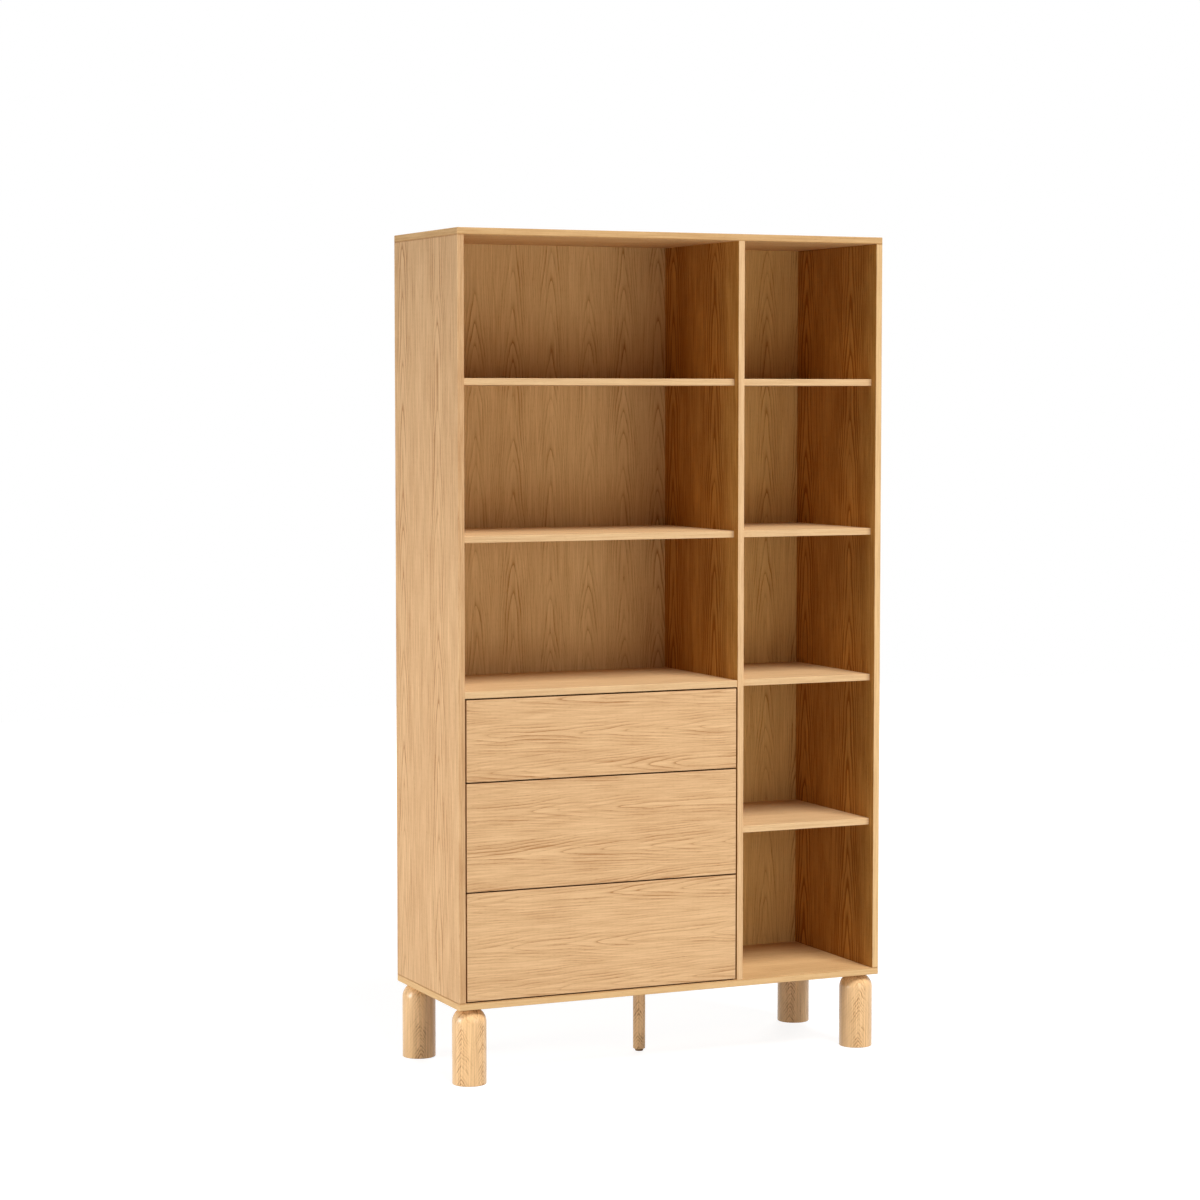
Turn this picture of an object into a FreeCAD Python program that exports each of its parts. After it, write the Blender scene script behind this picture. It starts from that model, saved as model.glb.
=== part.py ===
import FreeCAD, Part
import os

from FreeCAD import Vector

# A shelving unit with two columns, three drawers and turned legs.
# X runs to the right, Y to the back and Z up. The origin is on the floor, under the case's centre.
# All sizes are in millimetres.

# Case
case_width = 1100.0
case_depth = 405.0
board = 16.0                    # thickness of the panels, shelves and drawer fronts
arris = 1.0                     # rounding of the edges that show
right_bay_width = 355.0         # clear width of the narrow column
shelf_setback = 22.0            # shelves, behind the case's front
bay_top_setback = 2.0           # top of the drawer bay, behind the case's front

# Clear heights of the narrow column, from the bottom up
bottom_bay_height = 350.0
second_bay_height = 337.0
third_bay_height = 339.0
fourth_bay_height = 344.0
top_bay_height = 324.0

# Back boards, let into a rabbet
back_thickness = 4.0
back_lap = 8.0                  # how far the boards lie over the panels behind them
back_play = 0.5                 # at the rabbet, and between the two boards

# Legs
leg_height = 180.0
leg_radius = 40.0
leg_top_flat_radius = 6.0       # the flat on the dome, which meets the case
leg_base_round = 1.5
glide_radius = 32.0
glide_thickness = 3.0
glide_proud = 1.0               # how far a felt glide stands out of its leg
glide_play = 0.2

# Support leg and its levelling foot
centre_leg_radius = 15.0
foot_radius = 10.0
foot_height = 5.7
foot_gap = 0.3                  # between the foot and the leg, when it is screwed home
foot_stem_length = 34.0
foot_stem_gap = 0.2

# Leg bolts and their threaded inserts
bolt_radius = 4.0
bolt_in_leg = 40.0
bolt_in_insert = 11.0
insert_radius = 5.5
insert_length = 12.0
thread_gap = 0.1
bolt_chamfer = 0.5

# Dowels
dowel_radius = 4.0
dowel_length = 30.0
dowel_in_face = 9.0             # the part that goes into a panel's face
dowel_gap = 0.1
upright_dowel_shares = (0.1, 0.37, 0.63, 0.9)
left_shelf_dowel_shares = (0.1, 0.45, 0.8)
right_shelf_dowel_shares = (0.2, 0.55, 0.9)

# Screws
screw_radius = 1.6
screw_head_radius = 3.2
screw_head_height = 1.0
screw_gap = 0.1
rail_screw_length = 10.0
back_screw_length = 14.0
back_screw_head_depth = 1.8
back_row_shares = (0.03, 0.18, 0.34, 0.5, 0.66, 0.82, 0.97)
left_across_shares = (0.25, 0.5, 0.75)
right_across_shares = (0.33, 0.67)

# Drawers
front_gap = 3.5                 # all round each drawer front
drawer_height_shares = {"bottom": 0.363, "middle": 0.363, "top": 0.274}
rear_space = 31.0               # between a drawer box and the back boards
box_side_thickness = 12.0
box_lift = 14.0                 # front's lower edge to the box's lower edge
box_top_drop = 55.0             # front's upper edge to the box's upper edge
bottom_thickness = 6.0
bottom_lift = 10.0              # box's lower edge to its bottom board
groove_depth = 5.0
groove_play = 0.15

# Ball-bearing runners
runner_thickness = 12.7
runner_height = 45.0
runner_inset = 4.0              # runner's front end, behind the drawer front
runner_place_share = 0.5        # of the box's height
rail_sheet = 1.2
rail_nest_gap = 1.3             # between the webs of two nested rails
case_rail_reach_share = 0.75    # of the runner's thickness
ball_radius = 1.75
race_gap = 0.15
ball_count = 5
cage_sheet = 0.8
cage_margin = 0.5               # strip beside each ball
cage_hole_gap = 0.15
cage_start_share = 0.27         # of the rail's length, from its front end
cage_length_share = 0.46
rail_screw_shares = (0.1, 0.5, 0.9)
drawer_rail_screw_shares = (0.12, 0.88)

# Push latches behind the drawers
push_travel = 2.0               # how far a closed drawer can be pushed in
push_clearance = 0.4
latch_setback = 7.0             # behind the drawer box
latch_rear_gap = 1.0            # before the back boards
latch_height = 18.0             # above the box's lower edge
latch_plate_thickness = 3.0
latch_plate_half_height = 12.0
latch_arm_half_height = 3.0
latch_tube_radius = 5.5
latch_bore_end = 1.0            # closed wall at the bore's rear
plunger_radius = 3.0
plunger_gap = 0.2
plunger_tip_round = 1.0
latch_screw_share = 0.67        # of the plate's half height

# Planes that the sizes above give
left = -case_width / 2
right = case_width / 2
front = -case_depth / 2
back = case_depth / 2
board_front = back - back_thickness           # front face of the back boards
floor_top = leg_height + board

shelf_undersides = []
height_so_far = floor_top
for bay_height in (bottom_bay_height, second_bay_height, third_bay_height, fourth_bay_height):
    height_so_far += bay_height
    shelf_undersides.append(height_so_far)
    height_so_far += board
ceiling = height_so_far + top_bay_height      # underside of the top panel

divider_right = right - board - right_bay_width
divider_left = divider_right - board
divider_middle = (divider_left + divider_right) / 2
bay_left = left + board
bay_right = divider_left
bay_ceiling = shelf_undersides[1]             # underside of the drawer bay's top
x_axis = Vector(1, 0, 0)
y_axis = Vector(0, 1, 0)
z_axis = Vector(0, 0, 1)


# Plain shapes

def block(x_low, x_high, y_low, y_high, z_low, z_high):
    return Part.makeBox(x_high - x_low, y_high - y_low, z_high - z_low, Vector(x_low, y_low, z_low))


def edge_at(solid, faces):
    # the edge where two faces of a block meet, such as "front top"
    box = solid.BoundBox
    place = Vector(box.Center)
    planes = {"left": ("x", box.XMin), "right": ("x", box.XMax), "front": ("y", box.YMin),
              "back": ("y", box.YMax), "under": ("z", box.ZMin), "top": ("z", box.ZMax)}
    for name in faces.split():
        axis, value = planes[name]
        setattr(place, axis, value)
    return min(solid.Edges, key=lambda edge: edge.CenterOfMass.distanceToPoint(place))


def softened(solid, *names):
    return solid.makeFillet(arris, [edge_at(solid, name) for name in names]).Solids[0]


def drilled(solid, cutters):
    # takes away every cutter that comes near the solid
    near = [cutter for cutter in cutters if cutter.BoundBox.intersect(solid.BoundBox)]
    return solid.cut(near).Solids[0] if near else solid


def shares_between(low, high, shares):
    return [low + (high - low) * share for share in shares]


# Fasteners, each with the cutter of its hole

def dowel_places():
    # the lower or left-hand end of each dowel, and its direction
    places = []
    uprights = (left + board / 2, divider_middle, right - board / 2)
    for x in uprights:
        for y in shares_between(front, back, upright_dowel_shares):
            places.append((Vector(x, y, floor_top - dowel_in_face), z_axis))
            places.append((Vector(x, y, ceiling + dowel_in_face - dowel_length), z_axis))
    columns = ((shelf_undersides[1:], bay_left, bay_right, left_shelf_dowel_shares),
               (shelf_undersides, divider_right, right - board, right_shelf_dowel_shares))
    for undersides, x_low, x_high, shares in columns:
        for underside in undersides:
            for y in shares_between(front + shelf_setback, board_front, shares):
                z = underside + board / 2
                places.append((Vector(x_low - dowel_in_face, y, z), x_axis))
                places.append((Vector(x_high + dowel_in_face - dowel_length, y, z), x_axis))
    return places


def dowels(gap=0.0):
    return [Part.makeCylinder(dowel_radius + gap, dowel_length + gap + gap, place - axis * gap, axis)
            for place, axis in dowel_places()]


def pan_screw(seat, direction, length):
    # the head lies on the seat, and the shank goes into the wood along the direction
    shank = Part.makeCylinder(screw_radius, length, seat, direction)
    head = Part.makeCylinder(screw_head_radius, screw_head_height, seat - direction * screw_head_height,
                             direction)
    return head.fuse(shank).removeSplitter().Solids[0]


def pan_screw_hole(seat, direction, length):
    return Part.makeCylinder(screw_radius + screw_gap, length + screw_gap, seat, direction)


def back_screw(seat, gap=0.0):
    # countersunk, flush with the back, pointing to the front
    direction = -y_axis
    head = Part.makeCone(screw_head_radius + gap, screw_radius + gap, back_screw_head_depth, seat,
                         direction)
    shank = Part.makeCylinder(screw_radius + gap, back_screw_length + gap, seat, direction)
    return head.fuse(shank).removeSplitter().Solids[0]


def back_screw_places():
    low = leg_height + board - back_lap
    high = ceiling + back_lap
    places = []
    rows = (left + board - back_lap / 2, divider_middle - back_lap / 2, divider_middle + back_lap / 2,
            right - board + back_lap / 2)
    for x in rows:
        places += [Vector(x, back, z) for z in shares_between(low, high, back_row_shares)]
    edges = (floor_top - back_lap / 2, ceiling + back_lap / 2)
    columns = ((shelf_undersides[1:], bay_left, bay_right, left_across_shares),
               (shelf_undersides, divider_right, right - board, right_across_shares))
    for undersides, x_low, x_high, shares in columns:
        heights = [underside + board / 2 for underside in undersides]
        heights += edges
        for x in shares_between(x_low, x_high, shares):
            places += [Vector(x, back, z) for z in heights]
    return places


# Runners, drawn for either wall of the drawer bay: u runs from the wall to the drawer

def walls():
    # each wall's plane, and the way from it into the bay
    return {"left": (bay_left, 1), "right": (bay_right, -1)}


def runner_front():
    return front + board + runner_inset


def runner_length():
    return board_front - rear_space - runner_front()


def wall_block(wall, side, u_low, u_high, y_low, y_high, z_low, z_high):
    x_ends = sorted((wall + side * u_low, wall + side * u_high))
    return block(x_ends[0], x_ends[1], y_low, y_high, z_low, z_high)


def rail(wall, side, web_u, reach_u, half_height, z):
    # a channel whose web stands at web_u and whose flanges reach to reach_u
    sheet = rail_sheet if reach_u > web_u else -rail_sheet
    outline = [(web_u, -half_height), (reach_u, -half_height), (reach_u, -half_height + rail_sheet),
               (web_u + sheet, -half_height + rail_sheet), (web_u + sheet, half_height - rail_sheet),
               (reach_u, half_height - rail_sheet), (reach_u, half_height), (web_u, half_height)]
    points = [Vector(wall + side * u, runner_front(), z + v) for u, v in outline]
    face = Part.Face(Part.makePolygon(points + points[:1]))
    return face.extrude(y_axis * runner_length())


def ball_rows():
    # half heights and depths from the wall of the outer and the inner rows of balls
    outer_v = runner_height / 2 - rail_sheet - race_gap - ball_radius
    mid_half = outer_v - ball_radius - race_gap
    inner_v = mid_half - rail_sheet - race_gap - ball_radius
    outer_u = runner_thickness / 2
    inner_u = (mid_web_u() + runner_thickness) / 2
    return {"outer": (outer_v, outer_u), "inner": (inner_v, inner_u)}


def mid_web_u():
    return rail_sheet + rail_nest_gap


def case_rail(wall, side, z):
    return rail(wall, side, 0, runner_thickness * case_rail_reach_share, runner_height / 2, z)


def mid_rail(wall, side, z):
    reach = runner_thickness - rail_sheet - rail_nest_gap
    half_height = ball_rows()["outer"][0] - ball_radius - race_gap
    return rail(wall, side, mid_web_u(), reach, half_height, z)


def drawer_rail(wall, side, z):
    reach = mid_web_u() + rail_sheet + rail_nest_gap
    half_height = ball_rows()["inner"][0] - ball_radius - race_gap
    return rail(wall, side, runner_thickness, reach, half_height, z)


def cage(wall, side, row, z):
    # two perforated strips and their balls
    v, u = ball_rows()[row]
    half_strip = ball_radius + cage_margin
    y_low = runner_front() + runner_length() * cage_start_share
    y_high = y_low + runner_length() * cage_length_share
    pitch = (y_high - y_low) / ball_count
    solids = []
    for level in (z - v, z + v):
        centres = [Vector(wall + side * u, y_low + pitch * (step + 0.5), level)
                   for step in range(ball_count)]
        strip = wall_block(wall, side, u - half_strip, u + half_strip, y_low, y_high,
                           level - cage_sheet / 2, level + cage_sheet / 2)
        lows = [place - z_axis * ball_radius for place in centres]
        holes = [Part.makeCylinder(ball_radius + cage_hole_gap, ball_radius * 2, low) for low in lows]
        solids.append(strip.cut(holes).Solids[0])
        solids += [Part.makeSphere(ball_radius, place) for place in centres]
    return solids


# Drawers

def drawer_plan():
    # front's lower and upper edge, box's lower and upper edge, runner's middle height
    clear = bay_ceiling - floor_top - front_gap * (len(drawer_height_shares) + 1)
    low = floor_top + front_gap
    plan = {}
    for name, share in drawer_height_shares.items():
        high = low + clear * share
        box_low = low + box_lift
        box_high = high - box_top_drop
        middle = box_low + (box_high - box_low) * runner_place_share
        plan[name] = (low, high, box_low, box_high, middle)
        low = high + front_gap
    return plan


def box_front():
    return front + board


def box_back():
    return board_front - rear_space


def groove(box_low):
    # the space of the bottom board's edge, in both sides and in the front
    z_low = box_low + bottom_lift
    x_low = bay_left + runner_thickness + box_side_thickness - groove_depth
    x_high = bay_right - runner_thickness - box_side_thickness + groove_depth
    return block(x_low, x_high, box_front() - groove_depth, box_back(), z_low,
                 z_low + bottom_thickness + groove_play * 2)


def drawer_front(low, high, box_low):
    solid = block(bay_left + front_gap, bay_right - front_gap, front, front + board, low, high)
    solid = softened(solid, "front top", "front under", "front left", "front right",
                     "back top", "back under", "back left", "back right",
                     "left top", "left under", "right top", "right under")
    return drilled(solid, [groove(box_low)])


def box_side(wall, side, box_low, box_high):
    solid = wall_block(wall, side, runner_thickness, runner_thickness + box_side_thickness,
                       box_front(), box_back(), box_low, box_high)
    solid = softened(solid, "left top", "right top", "left under", "right under")
    return drilled(solid, [groove(box_low)])


def box_bottom(box_low):
    edge = groove_play
    z_low = box_low + bottom_lift + groove_play
    x_low = bay_left + runner_thickness + box_side_thickness - groove_depth + edge
    x_high = bay_right - runner_thickness - box_side_thickness + groove_depth - edge
    return block(x_low, x_high, box_front() - groove_depth + edge, box_back(), z_low,
                 z_low + bottom_thickness)


def box_rear(box_low, box_high):
    inset = runner_thickness + box_side_thickness
    z_low = box_low + bottom_lift + groove_play + bottom_thickness
    solid = block(bay_left + inset, bay_right - inset, box_back() - box_side_thickness, box_back(),
                  z_low, box_high)
    return softened(solid, "front top", "back top")


# Push latches

def latch_axis_u():
    return runner_thickness + box_side_thickness / 2


def latch_front():
    return box_back() + latch_setback


def latch_body(wall, side, box_low):
    z = box_low + latch_height
    y_low = latch_front()
    y_high = board_front - latch_rear_gap
    plate = wall_block(wall, side, 0, latch_plate_thickness, y_low, y_high,
                       z - latch_plate_half_height, z + latch_plate_half_height)
    arm = wall_block(wall, side, 0, latch_axis_u(), y_low, y_high,
                     z - latch_arm_half_height, z + latch_arm_half_height)
    mouth = Vector(wall + side * latch_axis_u(), y_low, z)
    tube = Part.makeCylinder(latch_tube_radius, y_high - y_low, mouth, y_axis)
    bore = Part.makeCylinder(plunger_radius + plunger_gap, y_high - y_low - latch_bore_end, mouth, y_axis)
    return plate.fuse([arm, tube]).removeSplitter().cut(bore).Solids[0]


def plunger(wall, side, box_low):
    y_low = box_back() + push_travel + push_clearance
    y_high = board_front - latch_rear_gap - latch_bore_end - push_clearance
    tip = Vector(wall + side * latch_axis_u(), y_low, box_low + latch_height)
    rod = Part.makeCylinder(plunger_radius, y_high - y_low, tip, y_axis)
    rim = min(rod.Edges, key=lambda edge: edge.BoundBox.YMax)
    return rod.makeFillet(plunger_tip_round, [rim]).Solids[0]


def latch_screw_seats(wall, side, box_low):
    y = (latch_front() + board_front - latch_rear_gap) / 2
    z = box_low + latch_height
    offset = latch_plate_half_height * latch_screw_share
    return [Vector(wall + side * latch_plate_thickness, y, z + offset * way) for way in (-1, 1)]


# Screws that hold rails and latches to the case, and rails to the drawers

def case_screw_seats():
    # each screw's seat, its direction and its length
    seats = []
    for low, high, box_low, box_high, middle in drawer_plan().values():
        for wall, side in walls().values():
            into_wall = x_axis * -side
            for y in shares_between(runner_front(), runner_front() + runner_length(), rail_screw_shares):
                seats.append((Vector(wall + side * rail_sheet, y, middle), into_wall, rail_screw_length))
            for seat in latch_screw_seats(wall, side, box_low):
                seats.append((seat, into_wall, rail_screw_length + latch_plate_thickness - rail_sheet))
    return seats


def drawer_screw_seats(middle):
    seats = []
    for wall, side in walls().values():
        x = wall + side * (runner_thickness - rail_sheet)
        for y in shares_between(runner_front(), runner_front() + runner_length(), drawer_rail_screw_shares):
            seats.append((Vector(x, y, middle), x_axis * side, rail_screw_length))
    return seats


# Legs

def leg_centres():
    x = right - leg_radius
    y = back - leg_radius
    return {"leg_front_left": Vector(-x, -y, 0), "leg_front_right": Vector(x, -y, 0),
            "leg_rear_left": Vector(-x, y, 0), "leg_rear_right": Vector(x, y, 0)}


def bolt_centres():
    return list(leg_centres().values()) + [Vector(0, 0, 0)]


def bolt_hole(centre):
    return Part.makeCylinder(bolt_radius + thread_gap, bolt_in_leg + thread_gap,
                             centre + z_axis * (leg_height - bolt_in_leg - thread_gap))


def leg(centre):
    # a cylinder whose top is drawn in to a dome with a small flat
    dome_radius = leg_radius - leg_top_flat_radius
    body = Part.makeCylinder(leg_radius, leg_height - glide_proud, centre + z_axis * glide_proud)
    body = body.makeFillet(dome_radius, [edge_at(body, "top")]).Solids[0]
    body = body.makeFillet(leg_base_round, [edge_at(body, "under")]).Solids[0]
    recess = Part.makeCylinder(glide_radius + glide_play, glide_thickness, centre)
    return body.cut([recess, bolt_hole(centre)]).Solids[0]


def glide(centre):
    return Part.makeCylinder(glide_radius, glide_thickness, centre)


def bolt(centre):
    length = bolt_in_leg + bolt_in_insert
    rod = Part.makeCylinder(bolt_radius, length, centre + z_axis * (leg_height - bolt_in_leg))
    return rod.makeChamfer(bolt_chamfer, [edge_at(rod, "top"), edge_at(rod, "under")]).Solids[0]


def insert(base, gap=0.0):
    return Part.makeCylinder(insert_radius + gap, insert_length + gap, base)


def centre_leg_base():
    return foot_height + foot_gap


def foot_stem_hole():
    return Part.makeCylinder(bolt_radius + foot_stem_gap, foot_stem_length + foot_stem_gap,
                             Vector(0, 0, foot_height))


def leg_insert_set():
    # one insert above each leg, and one in the support leg's base
    sleeves = []
    for centre in bolt_centres():
        sleeve = insert(centre + z_axis * leg_height)
        bore = Part.makeCylinder(bolt_radius + thread_gap, insert_length, centre + z_axis * leg_height)
        sleeves.append(sleeve.cut(bore).Solids[0])
    low_sleeve = insert(Vector(0, 0, centre_leg_base()))
    sleeves.append(low_sleeve.cut(foot_stem_hole()).Solids[0])
    return sleeves


def centre_leg():
    base = centre_leg_base()
    body = Part.makeCylinder(centre_leg_radius, leg_height - base, Vector(0, 0, base))
    body = body.makeFillet(arris, [edge_at(body, "top"), edge_at(body, "under")]).Solids[0]
    pocket = insert(Vector(0, 0, base), thread_gap)
    return body.cut([bolt_hole(Vector(0, 0, 0)), pocket, foot_stem_hole()]).Solids[0]


def centre_foot():
    pad = Part.makeCylinder(foot_radius, foot_height)
    pad = pad.makeFillet(arris, [edge_at(pad, "top"), edge_at(pad, "under")]).Solids[0]
    stem = Part.makeCylinder(bolt_radius, foot_stem_length, Vector(0, 0, foot_height))
    return pad.fuse(stem).removeSplitter().Solids[0]


# Panels

def back_pocket():
    return block(left + board - back_lap, right - board + back_lap, board_front, back,
                 floor_top - back_lap, ceiling + back_lap)


def end_panel(z_low, cutters):
    solid = block(left, right, front, back, z_low, z_low + board)
    solid = softened(solid, "front top", "front under", "back top", "back under", "left top",
                     "left under", "right top", "right under", "left front", "right front",
                     "left back", "right back")
    return drilled(solid, cutters + [back_pocket()])


def side_panel(x_low, outside, inside, cutters):
    solid = block(x_low, x_low + board, front, back, floor_top, ceiling)
    solid = softened(solid, outside + " front", outside + " back", outside + " top",
                     outside + " under", inside + " front", "front top", "front under")
    return drilled(solid, cutters + [back_pocket()])


def divider_panel(cutters):
    solid = block(divider_left, divider_right, front, board_front, floor_top, ceiling)
    return drilled(softened(solid, "left front", "right front"), cutters)


def shelf(x_low, x_high, underside, setback, cutters):
    solid = block(x_low, x_high, front + setback, board_front, underside, underside + board)
    return drilled(softened(solid, "front top", "front under"), cutters)


def back_board(x_low, x_high, cutters):
    solid = block(x_low, x_high, board_front, back, floor_top - back_lap + back_play,
                  ceiling + back_lap - back_play)
    return drilled(solid, cutters)


# Nodes: each name with its list of solids

def case_nodes():
    cutters = dowels(dowel_gap)
    cutters += [back_screw(place, screw_gap) for place in back_screw_places()]
    cutters += [pan_screw_hole(*seat) for seat in case_screw_seats()]
    cutters += [insert(centre + z_axis * leg_height, thread_gap) for centre in bolt_centres()]
    right_wall = right - board
    top, upper, lower = shelf_undersides[3], shelf_undersides[2], shelf_undersides[1]
    nodes = {
        "top_panel": [end_panel(ceiling, cutters)],
        "bottom_panel": [end_panel(leg_height, cutters)],
        "left_side": [side_panel(left, "left", "right", cutters)],
        "right_side": [side_panel(right_wall, "right", "left", cutters)],
        "divider": [divider_panel(cutters)],
        "back_board_left": [back_board(left + board - back_lap + back_play,
                                       divider_middle - back_play / 2, cutters)],
        "back_board_right": [back_board(divider_middle + back_play / 2,
                                        right_wall + back_lap - back_play, cutters)],
        "shelf_left_upper": [shelf(bay_left, bay_right, top, shelf_setback, cutters)],
        "shelf_left_lower": [shelf(bay_left, bay_right, upper, shelf_setback, cutters)],
        "drawer_bay_top": [shelf(bay_left, bay_right, lower, bay_top_setback, cutters)],
    }
    names = ("shelf_right_lowest", "shelf_right_lower", "shelf_right_upper", "shelf_right_highest")
    for name, underside in zip(names, shelf_undersides):
        nodes[name] = [shelf(divider_right, right_wall, underside, shelf_setback, cutters)]
    nodes["dowels"] = dowels()
    nodes["case_screws"] = [back_screw(place) for place in back_screw_places()]
    nodes["case_screws"] += [pan_screw(*seat) for seat in case_screw_seats()]
    return nodes


def leg_nodes():
    nodes = {name: [leg(centre)] for name, centre in leg_centres().items()}
    nodes["leg_glides"] = [glide(centre) for centre in leg_centres().values()]
    nodes["leg_bolts"] = [bolt(centre) for centre in bolt_centres()]
    nodes["leg_inserts"] = leg_insert_set()
    nodes["centre_leg"] = [centre_leg()]
    nodes["centre_foot"] = [centre_foot()]
    return nodes


def runner_nodes():
    nodes = {"case_rails": [], "latch_bodies": []}
    holes = [pan_screw_hole(*seat) for seat in case_screw_seats()]
    for name, (low, high, box_low, box_high, middle) in drawer_plan().items():
        prefix = "drawer_" + name + "_"
        nodes[prefix + "mid_rails"] = []
        nodes[prefix + "outer_cages"] = []
        nodes[prefix + "inner_cages"] = []
        nodes[prefix + "plungers"] = []
        for wall, side in walls().values():
            nodes["case_rails"].append(drilled(case_rail(wall, side, middle), holes))
            nodes["latch_bodies"].append(drilled(latch_body(wall, side, box_low), holes))
            nodes[prefix + "mid_rails"].append(mid_rail(wall, side, middle))
            nodes[prefix + "outer_cages"] += cage(wall, side, "outer", middle)
            nodes[prefix + "inner_cages"] += cage(wall, side, "inner", middle)
            nodes[prefix + "plungers"].append(plunger(wall, side, box_low))
    return nodes


def drawer_nodes():
    nodes = {}
    for name, (low, high, box_low, box_high, middle) in drawer_plan().items():
        prefix = "drawer_" + name + "_"
        seats = drawer_screw_seats(middle)
        holes = [pan_screw_hole(*seat) for seat in seats]
        nodes[prefix + "front"] = [drawer_front(low, high, box_low)]
        nodes[prefix + "rails"] = []
        for hand, (wall, side) in walls().items():
            nodes[prefix + "side_" + hand] = [drilled(box_side(wall, side, box_low, box_high), holes)]
            nodes[prefix + "rails"].append(drilled(drawer_rail(wall, side, middle), holes))
        nodes[prefix + "back"] = [box_rear(box_low, box_high)]
        nodes[prefix + "bottom"] = [box_bottom(box_low)]
        nodes[prefix + "screws"] = [pan_screw(*seat) for seat in seats]
    return nodes


os.makedirs("parts", exist_ok=True)
all_nodes = {**case_nodes(), **leg_nodes(), **runner_nodes(), **drawer_nodes()}
for node, solids in all_nodes.items():
    shape = solids[0] if len(solids) == 1 else Part.makeCompound(solids)
    shape.exportStep("parts/" + node + ".step")
    print(node, len(solids), all(solid.isValid() for solid in solids))
print(len(all_nodes), "nodes")
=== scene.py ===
import math

import bmesh
import bpy
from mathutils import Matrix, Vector


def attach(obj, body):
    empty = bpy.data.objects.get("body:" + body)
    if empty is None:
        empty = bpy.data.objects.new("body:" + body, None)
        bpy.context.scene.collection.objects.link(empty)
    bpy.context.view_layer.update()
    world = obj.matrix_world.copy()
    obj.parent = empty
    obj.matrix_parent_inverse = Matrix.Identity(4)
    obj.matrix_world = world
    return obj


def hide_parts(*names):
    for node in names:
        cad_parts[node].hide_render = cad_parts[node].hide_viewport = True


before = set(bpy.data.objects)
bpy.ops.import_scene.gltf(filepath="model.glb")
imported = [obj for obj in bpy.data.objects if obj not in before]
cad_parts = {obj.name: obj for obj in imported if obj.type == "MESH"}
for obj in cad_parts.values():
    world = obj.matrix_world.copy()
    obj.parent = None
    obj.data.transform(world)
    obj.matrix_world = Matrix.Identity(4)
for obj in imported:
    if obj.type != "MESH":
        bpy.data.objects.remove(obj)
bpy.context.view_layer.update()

scene = bpy.context.scene
scene.view_settings.view_transform = "Standard"


# Camera

cameraSetup = {
    "location": (-3.0908, -6.5981, 1.5863),
    "turn": (86.1725, 0.0, -24.352),      # degrees
    "lens": 90.87,                        # mm
    "sensor": 36.0,                       # mm
}


def addCamera(setup):
    turn = [math.radians(angle) for angle in setup["turn"]]
    bpy.ops.object.camera_add(location=setup["location"], rotation=turn)
    camera = bpy.context.object
    camera.data.lens = setup["lens"]
    camera.data.sensor_width = setup["sensor"]
    scene.camera = camera


addCamera(cameraSetup)
print("camera placed")


# Node helpers: each returns the output of what it adds, and split and coordinates all their outputs

class Wiring:
    def __init__(self, tree):
        self.tree = tree

    def put(self, socket, value):
        if isinstance(value, bpy.types.NodeSocket):
            self.tree.links.new(value, socket)
        else:
            socket.default_value = value

    def add(self, kind, inputs=None, output=0, **settings):
        node = self.tree.nodes.new(kind)
        for name, value in settings.items():
            setattr(node, name, value)
        for key, value in (inputs or {}).items():
            self.put(node.inputs[key], value)
        return node.outputs[output]

    def calc(self, operation, *values):
        return self.add("ShaderNodeMath", dict(enumerate(values)), operation=operation)

    def plus(self, a, b):
        return self.calc("ADD", a, b)

    def minus(self, a, b):
        return self.calc("SUBTRACT", a, b)

    def times(self, a, b):
        return self.calc("MULTIPLY", a, b)

    def over(self, a, b):
        return self.calc("DIVIDE", a, b)

    def timesPlus(self, a, b, c):
        return self.calc("MULTIPLY_ADD", a, b, c)

    def size(self, a):
        return self.calc("ABSOLUTE", a)

    def centred(self, noise):
        return self.minus(noise, 0.5)

    def vary(self, noise, value, spread):
        return self.timesPlus(noise, spread, value - spread / 2.0)

    def blend(self, share, a, b):
        return self.add("ShaderNodeMix", {0: share, 6: a, 7: b}, 2, data_type="RGBA")

    def choose(self, share, a, b):
        return self.add("ShaderNodeMix", {0: share, 2: a, 3: b}, 0)

    def join(self, x, y, z=0.0):
        return self.add("ShaderNodeCombineXYZ", {0: x, 1: y, 2: z})

    def split(self, vector):
        return self.add("ShaderNodeSeparateXYZ", {0: vector}).node.outputs

    def coordinates(self):
        return self.add("ShaderNodeTexCoord").node.outputs

    def noise(self, place, scale, detail=2.0, rough=0.5, twist=0.0):
        return self.add("ShaderNodeTexNoise", {"Vector": place, "Scale": scale, "Detail": detail,
                                               "Roughness": rough, "Distortion": twist})

    def chance(self, value, output="Value"):
        return self.add("ShaderNodeTexWhiteNoise", {"W": value}, output, noise_dimensions="1D")

    def ramp(self, value, low, high, toLow=0.0, toHigh=1.0):
        inputs = {0: value, 1: low, 2: high, 3: toLow, 4: toHigh}
        return self.add("ShaderNodeMapRange", inputs, interpolation_type="SMOOTHSTEP")


def startMaterial(name):
    material = bpy.data.materials.new(name)
    material.use_nodes = True
    tree = material.node_tree
    return material, Wiring(tree), tree.nodes["Principled BSDF"]


def addBump(wiring, shader, height, distance, strength):
    bump = wiring.add("ShaderNodeBump", {"Strength": strength, "Distance": distance, "Height": height})
    wiring.put(shader.inputs["Normal"], bump)


# Oak: fibres, pores and colour, for the veneer and for the turned legs

oakLook = {
    "pale": (0.765, 0.497, 0.240, 1.0),
    "deep": (0.43, 0.206, 0.066, 1.0),
    "middle": 0.20,                # share of the deep colour between the lines
    "lineWeight": 0.60,
    "fibreWeight": 0.80,
    "toneWeight": 0.20,
    "poreWeight": 0.30,
    "leafToneWeight": 0.10,
    "roughness": 0.52,
    "specular": 0.08,
}

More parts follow.
